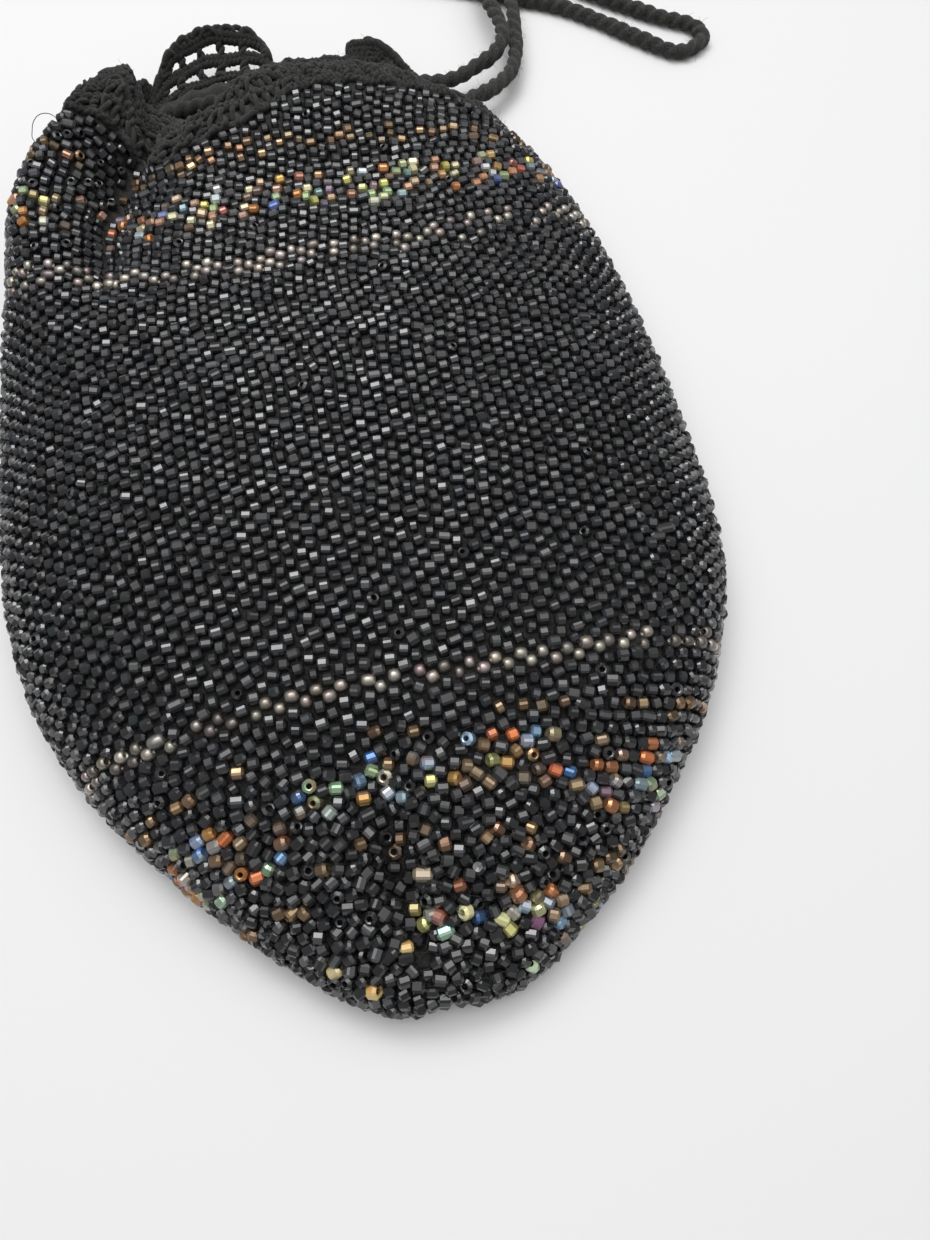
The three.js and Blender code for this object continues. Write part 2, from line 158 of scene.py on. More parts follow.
# Beads: rounds with every second one shifted by half a bead, one bead to each patch of area
ROUND_STEP = 1.22
FIRST_ROUND = 2.2
LAST_ROUND = POUCH_ROWS - 0.9
BEAD_AREA = 4.8
TIP_AREA = 3.9
BEAD_CLEARANCE = 2.75
TIP_CLEARANCE = 2.45
STRETCH_LIMITS = (0.6, 2.4)
COUNT_SLACK = 1.5
RELAX_STEPS = 36
RELAX_RATE = 0.16
RELAX_PROBE = 0.25
RELAX_NEAREST = 0.05
RELAX_ROW_LIMIT = 0.6
RELAX_ANGLE_LIMIT = 8
LEAST_SPREAD = 1e-4
LOWEST_ROW = FIRST_ROUND * 0.6
BEAD_RADIUS = 1.1
BEAD_LENGTH = 1.8
BEAD_SINK = 0.95
BEAD_SHIFT = 0.11
TIP_GROWTH = 0.1
# Painted shade: jet beads near the tip keep this share of their colour
TIP_PAINTED_SHADE = 0.6
TIP_ROWS = (16.0, 48.0)
JET_ZONES = (0, 55, 95, 135, 180)
ALL_ROWS = (0, 200)

# Uneven beads: spread of turn and tilt in degrees all over and more at the tip, then of sink and size
TURN_SPREAD = (8, 19)
TILT_SPREAD = (7, 13)
SINK_SPREAD = 0.14
LENGTH_SPREAD = 0.1
RADIUS_SPREAD = 0.06
LONG_SHARE = 0.06
LONG_STRETCH = 1.3
FACET_TURN = 60

# Beads that stand on end: shares all over, more at the tip and more on the lobe beside the notch
STAND_SHARES = (0.006, 0.11, 0.16)
STAND_LEAN = (45, 85)
LOBE_ANGLES = (122, 132, 146, 160)
LOBE_ROWS = (136, 146)

# Where the beads cover the heading's foot or stop short: angles of start, full, full and end, and rise
COVERS = ((24, 46, 80, 112, 5.0), (124, 133, 160, 180, 0.8), (84, 100, 116, 134, -4.0))
COVER_REACH = 6.0

# Beads left out, by angle, row, half spread and half length: a patch in the tip's crease, and a thin strip
# along the lobe's crease where the dark thread is painted shade
BARE_AND_SHADE_PATCHES = ((97, 9, 3.6, 1.6), (127, 150, 0.45, 18))

# Bead forms: places along the hole and distances from it, in half lengths and radii
CUT_PROFILE = ((-1, 0.62), (-0.64, 1), (0.64, 1), (1, 0.62))
UNDER_PROFILE = ((-0.85, 0.93), (0.85, 0.93))
ROUND_PROFILE = ((-0.95, 0.56), (-0.6, 0.82), (0, 0.91), (0.6, 0.82), (0.95, 0.56))
HOLE_RIM = (0.9, 0.42)
CORNER_CUT = 0.2
CUT_SIDES = 6
ROUND_SIDES = 10

# Where beads are plainer because they face away or lie underneath: angles and first row
PLAIN_FROM = 190
UNDER_ANGLES = (206, 334)
UNDER_FROM_ROW = 14

# Colour bands: rows from and to, share of coloured beads, angles from and to, kind
BANDS = (
    (10.5, 18.5, 0.36, -15, 96, "dusk"),
    (4.0, 14.0, 0.06, 20, 160, "pale"),
    (20.5, 25.0, 0.34, 0, 360, "bronze"),
    (28.6, 35.2, 0.44, 0, 360, "dusk"),
    (36.8, 39.4, 0.28, 0, 360, "bronze"),
    (44.0, 46.4, 0.8, 0, 360, "silver"),
    (130.2, 134.2, 0.56, 0, 360, "silver"),
    (143.0, 154.0, 0.46, 0, 360, "iris"),
    (159.8, 164.6, 0.5, 0, 360, "bronze"),
)

# Bead colours with their weights
PALETTES = {
    "jet": (
        ((0.0112, 0.0114, 0.0130), 6), ((0.0150, 0.0155, 0.0178), 3), ((0.0210, 0.0210, 0.0220), 1),
        ((0.0115, 0.0135, 0.0170), 1),
    ),
    "silver": (
        ((0.34, 0.31, 0.275), 3), ((0.44, 0.40, 0.35), 1), ((0.25, 0.22, 0.20), 3),
        ((0.13, 0.115, 0.105), 2.5),
    ),
    "bronze": (
        ((0.17, 0.115, 0.075), 3), ((0.25, 0.16, 0.10), 2), ((0.11, 0.085, 0.06), 3), ((0.32, 0.22, 0.13), 1),
    ),
    "iris": (
        ((0.46, 0.43, 0.13), 2.4), ((0.44, 0.41, 0.27), 2), ((0.44, 0.19, 0.07), 2.2),
        ((0.08, 0.15, 0.36), 1.4), ((0.34, 0.42, 0.48), 1.8), ((0.26, 0.165, 0.12), 4.5),
        ((0.38, 0.12, 0.10), 1), ((0.27, 0.37, 0.21), 1.8), ((0.14, 0.105, 0.085), 3),
        ((0.13, 0.20, 0.23), 0.6),
    ),
    "dusk": (
        ((0.28, 0.40, 0.50), 2.6), ((0.06, 0.14, 0.32), 2), ((0.48, 0.15, 0.06), 1.8),
        ((0.42, 0.23, 0.08), 1.6), ((0.42, 0.40, 0.17), 1.4), ((0.40, 0.39, 0.33), 1.8),
        ((0.20, 0.14, 0.085), 4.5), ((0.12, 0.095, 0.075), 3), ((0.26, 0.37, 0.25), 1.4),
        ((0.18, 0.09, 0.18), 0.4),
    ),
    "pale": (((0.48, 0.48, 0.25), 3), ((0.52, 0.31, 0.10), 0.6), ((0.42, 0.52, 0.40), 1)),
}

# Spread of shade and tint from bead to bead, and the limits of a colour
SHADE_SPREAD = 0.13
TINT_SPREAD = 0.04
COLOR_LIMITS = (0.002, 0.95)

# Share of the second tone round a bead
TONE_BLEND = {"jet": 0.5, "silver": 0.5, "bronze": 0.7, "iris": 0.4, "dusk": 0.4, "pale": 0.5}

# Glass of each kind of bead: name, roughness and other values
BEAD_GLASS = {
    "jet": ("jet_glass", 0.12, {"IOR": 1.62}),
    "silver": ("silvered_glass", 0.3, {"Metallic": 0.75}),
    "bronze": ("bronze_glass", 0.26, {"Metallic": 0.85}),
    "iris": ("iris_glass", 0.26, {"Metallic": 0.6}),
    "dusk": ("dusk_glass", 0.23, {"Metallic": 0.65}),
    "pale": ("pale_glass", 0.16, {"Metallic": 0.2}),
}
GLASS_GRAIN = 900.0
ROUGHNESS_RANGE = (0.6, 1.6)

# Crocheted ground
GROUND_INSET = 1.45
GROUND_START = 2.0
GROUND_LOWEST = 0.4
LINING = 0.4
LINING_RING = 6
GROUND_COLUMNS = 200
GROUND_RING_STEP = 1.25
GROUND_RELIEF = 0.22
GROUND_UNEVENNESS = 0.07
STITCH_COLUMNS = 4
REST_LEVEL = 0.03

# Heading: radii and heights are least and most, and lean, twist and the loops' depth middle and spread
HEADING_CORE = 1.25
HEADING_FOOT = -0.06
HEADING_RINGS = 8
RIB_COLUMNS = 8
COVERED_LIMIT = 0.8
POST_COUNT = 100
POST_ROUNDS = 2
POST_POINTS = 9
POST_RADII = (0.442, 0.598)
POST_DEPTH = HEADING_INSET + 0.35
POST_DEPTH_SPREAD = 0.12
POST_BULGE = 0.35
POST_LEAN = (1.8, 1.0)
POST_TWIST = (0.9, 0.2)
CHAIN_RADIUS = 0.55
CHAIN_DEPTH = HEADING_INSET + 0.1
CHAIN_PITCH = 4.2
CHAIN_WIDTH = 0.62
CHAIN_SHARES = (0.02, 0.5, 0.95)
RIM_LOOPS = 72
RIM_LOOP_POINTS = 9
RIM_LOOP_RADII = (0.55, 0.77)
RIM_LOOP_HEIGHTS = (1.4, 2.5)
RIM_LOOP_REACH = 0.62
RIM_LOOP_FOOT = 0.94
RIM_LOOP_DEPTH = (0.5, 0.3)

# Where the heading's edge drops and leans in: angles where it starts, is full and ends, drop and lean
RIM_DROPS = ((98, 110, 128, 138, 0.38, 2.0), (136, 146, 165, 188, 0.35, 0.0))

# Loose fibres and strands
HEADING_FUZZ = 1500
LACE_FUZZ = 700
FUZZ_LENGTHS = (0.48, 1.56)
FUZZ_SPREAD = (1, 1, 0.8)
FUZZ_CURL = 0.4
FUZZ_RADIUS = 0.025
FUZZ_POINTS = 3
FIBRE_SIDES = 3
THREAD_SIDES = 5
STRAND_OFFSET = 0.9
BRAID_STRANDS = 3
BRAID_LIFT = 0.75

# Stray loops of thread: points on their way
STRAY_THREADS = (
    ((-48, 168.9, 17.8), (-49, 169.6, 18.6), (-49.2, 172.3, 18.5), (-48.9, 175.2, 18.3), (-47.9, 177, 18.1),
     (-46.6, 177.4, 17.9), (-45.5, 176.8, 17.8), (-44.5, 175.7, 17.4), (-44, 175, 16.4)),
    ((-55.4, 60.4, 5.5), (-56.3, 59.6, 5), (-57.3, 58.8, 5), (-57.2, 57.4, 5), (-55.4, 56.2, 5.5)),
)
STRAY_RADIUS = 0.08
STRAY_STEP = 0.6

# Ends of thread between the beads
GROUND_FIBRES = 2000
FIBRE_RADIUS = 0.05
FIBRE_POINTS = 4
FIBRE_RISES = (0.6, 1.44)
FIBRE_LENGTHS = (1.5, 4.5)
FIBRE_ANGLES = (-10, 190)
FIBRE_CROWDING = 1.7
FIBRE_BEND = 4.0

# Scallops of the lace: angles from and to, height, roll
SCALLOPS = (
    (56, 87, 11, 270),
    (87, 118, 12, 250),
    (121, 149, 6.6, 45),
    (160, 193, 6, 200),
    (193, 224, 11.5, 65),
    (224, 268, 11.8, 50),
    (291, 325, 6.8, 40),
)
SCALLOP_GAPS = 6
SCALLOP_FULLNESS = 2.5
GAP_TO_BAR = 2.4
LACE_BANDS = ((0.06, 0.5), (0.4, 0.66), (0.78, 0.72))
LACE_POSTS = ((0.1, 0.38), (0.44, 0.74))
LACE_THREAD = 0.66
LACE_EDGE = 0.985
POINTS_PER_DEGREE = 2
BAND_WAVE = 0.25
BAND_WAVES = 3
BAND_PITCH = 3.0
BAND_WIDTH = 1.35
BAR_POINTS = 9
BAR_EDGE = 0.93
BAR_SLANT = 0.05
BAR_TURNS = 1.0
BAR_RADII = (0.495, 0.66)
PLAIN_LEVEL = 0.5
PLAIN_OVERLAP = 1
PICOT_RADII = (0.64, 0.88)
PICOT_POINTS = 8
PICOT_ANGLE = 3.4
PICOT_EDGE = 0.97
PICOT_REACH = 0.6
PICOT_LEVEL = 0.84
PICOT_RISES = (0.078, 0.156)
PICOT_SPREAD = 0.25

# Light and floor, in metres
WORLD_COLOR = (1.0, 1.0, 1.0, 1.0)
WORLD_STRENGTH = 0.34
FLOOR_SIZE = 6.0
FLOOR_FINISH = {"Base Color": (0.592, 0.592, 0.594, 1), "Roughness": 0.6}

# Soft boxes in metres: place to the right, back and up, width and depth, radiance
SOFTBOXES = {
    "wide_light": (0.1, 0.1, 0.95, 1.9, 1.8, 1.0),
    "middle_light": (-0.05, 0.28, 0.88, 0.9, 0.8, 2.2),
    "window_light": (-0.1, 0.36, 0.8, 0.36, 0.3, 5.5),
}

# Threads: dark and light tone, grain, strength of the bump and sheen
CORD_THREAD = ((0.006, 0.006, 0.0056), (0.037, 0.0365, 0.0325), 2300, 0.9, 0.12)
CROCHET_THREAD = ((0.004, 0.004, 0.004), (0.022, 0.0215, 0.0195), 2300, 0.9, 0.12)
GROUND_THREAD = ((0.0035, 0.0033, 0.003), (0.019, 0.0175, 0.0145), 1900, 1.0, 0.1)
THREAD_FINISH = {"Roughness": 0.92, "Specular IOR Level": 0.2, "Sheen Roughness": 0.6}
THREAD_NOISE = {"Detail": 5.0, "Roughness": 0.7}
TONE_SPAN = (0.4, 0.62)
BUMP_DISTANCE = 0.4

random = np.random.RandomState(1889)


# Numbers along tables and curves


def smooth_step(low, high, value):
    t = np.clip((value - low) / (high - low), 0, 1)
    return t * t * (3 - 2 * t)


def plateau(grows, full, fades, gone, value):
    """Rises from 0 to 1 and falls to 0 again."""
    return smooth_step(grows, full, value) * (1 - smooth_step(fades, gone, value))


def read_column(table, column, value):
    """Value of a table column between its rows, on a smooth curve."""
    keys, values = table[:, 0], table[:, column]
    before = np.maximum(np.arange(len(keys)) - 1, 0)
    after = np.minimum(np.arange(len(keys)) + 1, len(keys) - 1)
    slopes = (values[after] - values[before]) / (keys[after] - keys[before])
    index = np.clip(np.searchsorted(keys, value, side="right") - 1, 0, len(keys) - 2)
    span = keys[index + 1] - keys[index]
    t = (value - keys[index]) / span
    rise = t * t * (3 - 2 * t)
    level = values[index] * (1 - rise) + values[index + 1] * rise
    return level + span * (slopes[index] * t * (1 - t) ** 2 + slopes[index + 1] * t * t * (t - 1))


def normalized(vectors):
    return vectors / np.maximum(np.linalg.norm(vectors, axis=-1, keepdims=True), TINY)


def reached(points):
    """Length along a path up to each of its points."""
    return np.concatenate([[0], np.cumsum(np.linalg.norm(np.diff(points, axis=0), axis=1))])


# The pouch's outer surface


def surface(angle, row):
    """Points of the outer surface at angles round the row and row distances."""
    angle, row = np.broadcast_arrays(np.asarray(angle, float) % 360, np.asarray(row, float))
    cosine, sine = np.cos(np.radians(angle)), np.sin(np.radians(angle))
    right = cosine >= 0
    lag = np.where(right, read_column(ROW_LAG, LAG_RIGHT, row), read_column(ROW_LAG, LAG_LEFT, row))
    back_share = smooth_step(*BACK_REACH, -sine)
    side_share = smooth_step(*SIDE_REACH, np.abs(cosine)) * (1 - back_share)
    y = row - lag * side_share + read_column(ROW_LAG, LEAD_BACK, row) * back_share
    lift = np.zeros_like(y)
    front = smooth_step(*FRONT_REACH, sine)
    for centre, spread, rise, shift, grows, full, fades in FOLDS:
        grown = plateau(grows, full, fades, fades + FADE_LENGTH, row)
        share = grown * front * np.exp(-(((angle - centre) / spread) ** 2))
        lift = lift + rise * share
        y = y + shift * share
    flat_y = row - lag
    half = np.where(right, read_column(OUTLINE, OUT_RIGHT, flat_y), read_column(OUTLINE, OUT_LEFT, flat_y))
    x = half * cosine * (1 + SECTION_FULLNESS * sine**2)
    side = read_column(OUTLINE, OUT_SIDE, y)
    crest = read_column(OUTLINE, OUT_CREST, y)
    floor = np.maximum(read_column(OUTLINE, OUT_FLOOR, y), 0)
    full_sine = sine * (1 + SECTION_FULLNESS * cosine**2)
    fall = 1 + UNDERSIDE_FLATNESS * full_sine
    rounded = (fall + UNDERSIDE_ROUNDING) ** 2 / (4 * UNDERSIDE_ROUNDING)
    under = np.where(fall >= UNDERSIDE_ROUNDING, fall, np.where(fall <= -UNDERSIDE_ROUNDING, 0, rounded))
    z = np.where(sine >= 0, side + (crest - side) * full_sine + lift, floor + (side - floor) * under)
    return np.stack([x, y, z], axis=-1)


def surface_frame(angle, row, step=0.5):
    """Point with the directions along the row distance, round the row, and out of the surface."""
    along = normalized(surface(angle, row + step) - surface(angle, row - step))
    around = normalized(surface(angle + step, row) - surface(angle - step, row))
    return surface(angle, row), along, around, normalized(np.cross(along, around))


def inset(angle, row, depth):
    point, _, _, out = surface_frame(np.asarray(angle, float), np.asarray(row, float))
    return point - out * np.asarray(depth)[..., None]


def even_angles(row, count, start=0, end=360):
    """Angles that part one row into equal lengths."""
    samples = np.linspace(start, end, len(AROUND))
    lengths = reached(surface(samples, row))
    return np.interp(np.linspace(0, lengths[-1], count + 1), lengths, samples)


def mean_radius(row):
    """Radius of a circle that is as long as a row."""
    return reached(surface(AROUND, row))[-1] / FULL_TURN


def rim_drop(angle):
    """Share of the heading's height that is missing, and how far its edge leans in."""
    drop = lean = 0
    for *reach, depth, inward in RIM_DROPS:
        share = plateau(*reach, angle % 360)
        drop = drop + depth * share
        lean = lean + inward * share
    return drop, lean


def rim_rows(angle):
    """Height of the heading, which is lower at the right corner and at the notch."""
    corner = smooth_step(*CORNER_REACH, np.cos(np.radians(angle)))
    drop, _ = rim_drop(angle)
    return (HEADING_ROWS + (CORNER_ROWS - HEADING_ROWS) * corner) * (1 - drop)


# Meshes


class Shape:
    """Vertices and faces of a piece, gathered from many small parts."""

    def __init__(self):
        self.vertices = []
        self.faces = {3: [], 4: []}
        self.count = 0

    def add(self, vertices, *face_lists):
        for faces in face_lists:
            self.faces[faces.shape[1]].append(faces + self.count)
        raised = np.array(vertices)
        raised[:, 2] = np.maximum(raised[:, 2], REST_LEVEL)
        self.vertices.append(raised)
        self.count += len(vertices)


def make_piece(name, shape, material, smooth=True, colors=None):
    """Mesh object of a shape, in metres in the part's frame, that rides on the bag."""
    mesh = bpy.data.meshes.new(name)
    vertices = (np.concatenate(shape.vertices) + BAG_SHIFT) * MILLIMETRE
    groups = [np.concatenate(faces) for faces in shape.faces.values() if faces]
    totals = np.concatenate([np.full(len(faces), faces.shape[1]) for faces in groups])
    loops = np.concatenate([faces.ravel() for faces in groups])
    mesh.vertices.add(len(vertices))
    mesh.vertices.foreach_set("co", vertices.astype(np.float32).ravel())
    mesh.loops.add(len(loops))
    mesh.loops.foreach_set("vertex_index", loops.astype(np.int32))
    mesh.polygons.add(len(totals))
    mesh.polygons.foreach_set("loop_start", (np.cumsum(totals) - totals).astype(np.int32))
    mesh.polygons.foreach_set("use_smooth", np.full(len(totals), smooth))
    if colors is not None:
        layer = mesh.color_attributes.new("bead_color", "FLOAT_COLOR", "POINT")
        rgba = np.concatenate([colors, np.ones((len(colors), 1))], axis=1)
        layer.data.foreach_set("color", rgba.astype(np.float32).ravel())
    mesh.update(calc_edges=True)
    mesh.validate()
    mesh.materials.append(material)
    piece = bpy.data.objects.new(name, mesh)
    bpy.context.scene.collection.objects.link(piece)
    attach(piece, BODY)
    return piece


def grid_faces(rows, columns):
    """Quads between rings of points."""
    row, column = np.meshgrid(np.arange(rows - 1), np.arange(columns), indexing="ij")
    following = (column + 1) % columns
    corners = [row * columns + column, row * columns + following]
    corners += [(row + 1) * columns + following, (row + 1) * columns + column]
    return np.stack(corners, axis=-1).reshape(-1, 4)


def end_faces(rows, columns):
    """Triangles that close both ends of a stack of rings, to two middle points that follow them."""
    column = np.arange(columns)
    following = (column + 1) % columns
    count = rows * columns
    last = count - columns
    start = np.stack([np.full(columns, count), following, column], axis=1)
    end = np.stack([np.full(columns, count + 1), last + column, last + following], axis=1)
    return np.concatenate([start, end])


def unit_circle(sides):
    turn = np.linspace(0, FULL_TURN, sides, endpoint=False)
    return np.stack([np.cos(turn), np.sin(turn)], axis=1)


def carried_frames(points):
    """Two directions across a path at each of its points, carried along without twist."""
    tangents = normalized(np.gradient(points, axis=0))
    seed = np.eye(3)[np.argmin(np.abs(tangents[0]))]
    sides = [normalized(np.cross(tangents[0], seed))]
    for tangent in tangents[1:]:
        sides.append(normalized(sides[-1] - tangent * np.dot(sides[-1], tangent)))
    sides = np.array(sides)
    return sides, np.cross(tangents, sides)


def add_tube(shape, points, radius, sides=6):
    """Closed tube along points, of one radius or of radii given round each point."""
    radii = np.asarray(radius, float)
    if radii.ndim < 2:
        radii = np.full((len(points), sides), radii)
    sides = radii.shape[1]
    across, up = carried_frames(points)
    cosine, sine = unit_circle(sides).T[..., None]
    rings = points[:, None] + (across[:, None] * cosine + up[:, None] * sine) * radii[..., None]
    vertices = np.concatenate([rings.reshape(-1, 3), points[[0, -1]]])
    shape.add(vertices, grid_faces(len(points), sides), end_faces(len(points), sides))


def add_shell(shape, outer, inner):
    """Closed wall between two grids of rings that share their columns."""
    rows, columns = outer.shape[:2]
    offset = rows * columns
    vertices = np.concatenate([outer.reshape(-1, 3), inner.reshape(-1, 3)])
    column = np.arange(columns)
    following = (column + 1) % columns
    top = (rows - 1) * columns
    inner_top = offset + (len(inner) - 1) * columns
    upper = np.stack([top + column, top + following, inner_top + following, inner_top + column], axis=1)
    lower = np.stack([column, offset + column, offset + following, following], axis=1)
    inner_faces = grid_faces(len(inner), columns)[:, ::-1] + offset
    shape.add(vertices, grid_faces(rows, columns), inner_faces, upper, lower)


def path_curve(points, step):
    """Evenly spaced points on a centripetal spline through points."""
    points = np.asarray(points, float)
    padded = np.concatenate([[2 * points[0] - points[1]], points, [2 * points[-1] - points[-2]]])
    pieces = []
    for index in range(len(points) - 1):
        a, b, c, d = padded[index:index + 4]
        first, middle, last = (math.sqrt(np.linalg.norm(v)) for v in (b - a, c - b, d - c))
        into = ((b - a) / first - (c - a) / (first + middle) + (c - b) / middle) * middle
        out_of = ((c - b) / middle - (d - b) / (middle + last) + (d - c) / last) * middle
        t = np.linspace(0, 1, SPLINE_STEPS, endpoint=False)[:, None]
        rise = t * t * (3 - 2 * t)
        pieces.append(b * (1 - rise) + c * rise + into * t * (1 - t) ** 2 + out_of * t * t * (t - 1))
    return spaced(np.concatenate(pieces + [points[-1:]]), step)


def spaced(points, step):
    """The same path with points at equal steps."""
    lengths = reached(points)
    count = max(int(round(lengths[-1] / step)), 2) + 1
    wanted = np.linspace(0, lengths[-1], count)
    return np.stack([np.interp(wanted, lengths, points[:, axis]) for axis in range(3)], axis=1)


# Threads


def add_fuzz(shape, count):
    """Fine loose fibres that stand off a shape's threads."""
    places = np.concatenate(shape.vertices)
    roots = places[random.randint(0, len(places), count)]
    t = np.linspace(0, 1, FUZZ_POINTS)[:, None]
    for root in roots:
        reach = random.normal(0, 1, 3) * FUZZ_SPREAD
        curl = random.normal(0, FUZZ_CURL, 3)
        length = random.uniform(*FUZZ_LENGTHS)
        path = root + normalized(reach) * t * length + curl * t**2
        add_tube(shape, path, FUZZ_RADIUS, FIBRE_SIDES)


def add_twist(shape, path, radius, turns, phase=0.0):
    """Two strands laid round each other along a short path."""
    across, up = carried_frames(path)
    share = np.linspace(0, 1, len(path))
    for strand in range(2):
        turn = FULL_TURN * turns * share + np.pi * strand + phase
        offset = across * np.cos(turn)[:, None] + up * np.sin(turn)[:, None]
        add_tube(shape, path + offset * radius * STRAND_OFFSET, radius, THREAD_SIDES)


def add_braid(shape, path, side, out, radius, pitch, width):
    """Plaited strands along a path, as the loops of a crocheted chain."""
    reach = reached(path)
    for strand in range(BRAID_STRANDS):
        turn = FULL_TURN * (reach / pitch + strand / BRAID_STRANDS)
        sway = side * (width * np.sin(turn))[:, None]
        lift = out * (BRAID_LIFT * radius * np.sin(2 * turn))[:, None]
        add_tube(shape, path + sway + lift, radius, THREAD_SIDES)


# Materials


def new_material(name, values):
    """Material with the given values on its shader."""
    material = bpy.data.materials.new(name)
    material.use_nodes = True
    shader = material.node_tree.nodes["Principled BSDF"]
    for key, value in values.items():
        shader.inputs[key].default_value = value
    return material, material.node_tree, shader


def add_noise(tree, **values):
    """Noise in the piece's own coordinates."""
    place = tree.nodes.new("ShaderNodeTexCoord")
    noise = tree.nodes.new("ShaderNodeTexNoise")
    for key, value in values.items():
        noise.inputs[key].default_value = value
    tree.links.new(place.outputs["Object"], noise.inputs["Vector"])
    return noise


def bead_material(name, roughness, values):
    """Glass whose colour is each bead's own."""
    material, tree, shader = new_material(name, values)
    color = tree.nodes.new("ShaderNodeAttribute")
    color.attribute_name = "bead_color"
    tree.links.new(color.outputs["Color"], shader.inputs["Base Color"])
    noise = add_noise(tree, Scale=GLASS_GRAIN)
    spread = tree.nodes.new("ShaderNodeMapRange")
    for key, share in zip(("To Min", "To Max"), ROUGHNESS_RANGE):
        spread.inputs[key].default_value = roughness * share
    tree.links.new(noise.outputs["Fac"], spread.inputs["Value"])
    tree.links.new(spread.outputs["Result"], shader.inputs["Roughness"])
    return material


def thread_material(name, dark, light, grain, bump_strength, sheen):
    """Matte thread: fibres of two tones with a fine uneven surface."""
    material, tree, shader = new_material(name, {**THREAD_FINISH, "Sheen Weight": sheen})
    noise = add_noise(tree, Scale=grain, **THREAD_NOISE)
    tones = tree.nodes.new("ShaderNodeValToRGB")
    for stop, position, tone in zip(tones.color_ramp.elements, TONE_SPAN, (dark, light)):
        stop.position = position
        stop.color = (*tone, 1)
    tree.links.new(noise.outputs["Fac"], tones.inputs["Fac"])
    tree.links.new(tones.outputs["Color"], shader.inputs["Base Color"])
    bump = tree.nodes.new("ShaderNodeBump")
    bump.inputs["Strength"].default_value = bump_strength
    bump.inputs["Distance"].default_value = BUMP_DISTANCE * MILLIMETRE
    tree.links.new(noise.outputs["Fac"], bump.inputs["Height"])
    tree.links.new(bump.outputs["Normal"], shader.inputs["Normal"])
    return material


# Camera, light and floor


def in_part(point):
    return Vector((np.asarray(point) + BAG_SHIFT) * MILLIMETRE)


def set_camera():
    azimuth, elevation = math.radians(CAMERA_AZIMUTH), math.radians(CAMERA_ELEVATION)
    level = math.cos(elevation)
    back = np.array([math.sin(azimuth) * level, -math.cos(azimuth) * level, math.sin(elevation)])
    aim = in_part(CAMERA_AIM)
    eye = in_part(CAMERA_AIM + back * CAMERA_DISTANCE)
    data = bpy.data.cameras.new("camera")
    data.lens = CAMERA_LENS
    data.clip_start = CAMERA_NEAR * MILLIMETRE
    camera = bpy.data.objects.new("camera", data)
    camera.location = eye
    camera.rotation_euler = (aim - eye).to_track_quat("-Z", "Y").to_euler()
    bpy.context.scene.collection.objects.link(camera)
    bpy.context.scene.camera = camera


def add_softbox(name, right, back, up, width, depth, radiance):
    data = bpy.data.lights.new(name, "AREA")
    data.shape = "RECTANGLE"
    data.size, data.size_y = width, depth
    data.energy = radiance * math.pi * width * depth
    light = bpy.data.objects.new(name, data)
    light.location = (right, back, up)
    bpy.context.scene.collection.objects.link(light)


def set_stage():
    scene = bpy.context.scene
    scene.view_settings.view_transform = "Standard"
    world = bpy.data.worlds.new("studio")
    world.use_nodes = True
    background = world.node_tree.nodes["Background"]
    background.inputs["Color"].default_value = WORLD_COLOR
    background.inputs["Strength"].default_value = WORLD_STRENGTH
    scene.world = world
    for name, placing in SOFTBOXES.items():
        add_softbox(name, *placing)
    half = FLOOR_SIZE / 2
    mesh = bpy.data.meshes.new("floor")
    corners = [(-half, -half, 0), (half, -half, 0), (half, half, 0), (-half, half, 0)]
    mesh.from_pydata(corners, [], [(0, 1, 2, 3)])
    material, _, _ = new_material("floor_white", FLOOR_FINISH)
    mesh.materials.append(material)
    floor = bpy.data.objects.new("floor", mesh)
    scene.collection.objects.link(floor)


# Cord


def run_points():
    stretches = []
    for start, end, parts in RUN_STRETCHES:
        angles = even_angles(CORD_ROW, parts, start, end)
        stretches.append(inset(angles, np.full_like(angles, CORD_ROW), np.full_like(angles, CORD_INSET)))
    return np.concatenate([stretches[0], np.array(RUN_CORNER, float), stretches[1]])


def strand_start(end, before):
    outward = normalized(end - before)
    return [end + outward * reach for reach in (CORD_GAP, STRAIGHT_OUT)]


def loop_points(run):
    back = strand_start(run[-1], run[-2])
    front = strand_start(run[0], run[1])
    return np.array(back + list(LOOP_ROUTE) + front[::-1], float)


def cord_shape(centre, fuzz):
    """Two strands twisted into one cord, with the fine ridges of their yarns and loose fibres."""
    shape = Shape()
    reach = np.arange(len(centre))[:, None] * CORD_STEP
    turn = np.linspace(0, FULL_TURN, CORD_SIDES, endpoint=False)[None, :]
    strand = np.abs(np.cos(turn - FULL_TURN * reach / CORD_LAY))
    yarn = np.cos(CORD_YARNS * (turn + FULL_TURN * reach / YARN_LAY))
    wobble = 1 + sum(depth * np.sin(reach / length + phase) for depth, length, phase in CORD_WOBBLES)
    form = CORD_GROOVE + (1 - CORD_GROOVE) * strand**CORD_ROUNDNESS + YARN_DEPTH * yarn
    add_tube(shape, centre, CORD_SLIM * CORD_DIAMETER / 2 * wobble * form)
    add_fuzz(shape, fuzz)
    return shape


def make_cord(held_painted_shade_material, free_material):
    run = run_points()
    held_shape = cord_shape(path_curve(run, CORD_STEP), HELD_FUZZ)
    # Painted shade: the held run uses a darker thread than the free loop of the same cord
    run_piece = make_piece("drawstring_held", held_shape, held_painted_shade_material)
    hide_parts("drawstring_run")
    centre = path_curve(loop_points(run), CORD_STEP)
    resting = centre - np.array([0, 0, (1 - CORD_SLIM) * CORD_DIAMETER / 2])
    loop_piece = make_piece("drawstring_free", cord_shape(resting, FREE_FUZZ), free_material)
    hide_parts("drawstring_loop")


# Crocheted ground under the beads


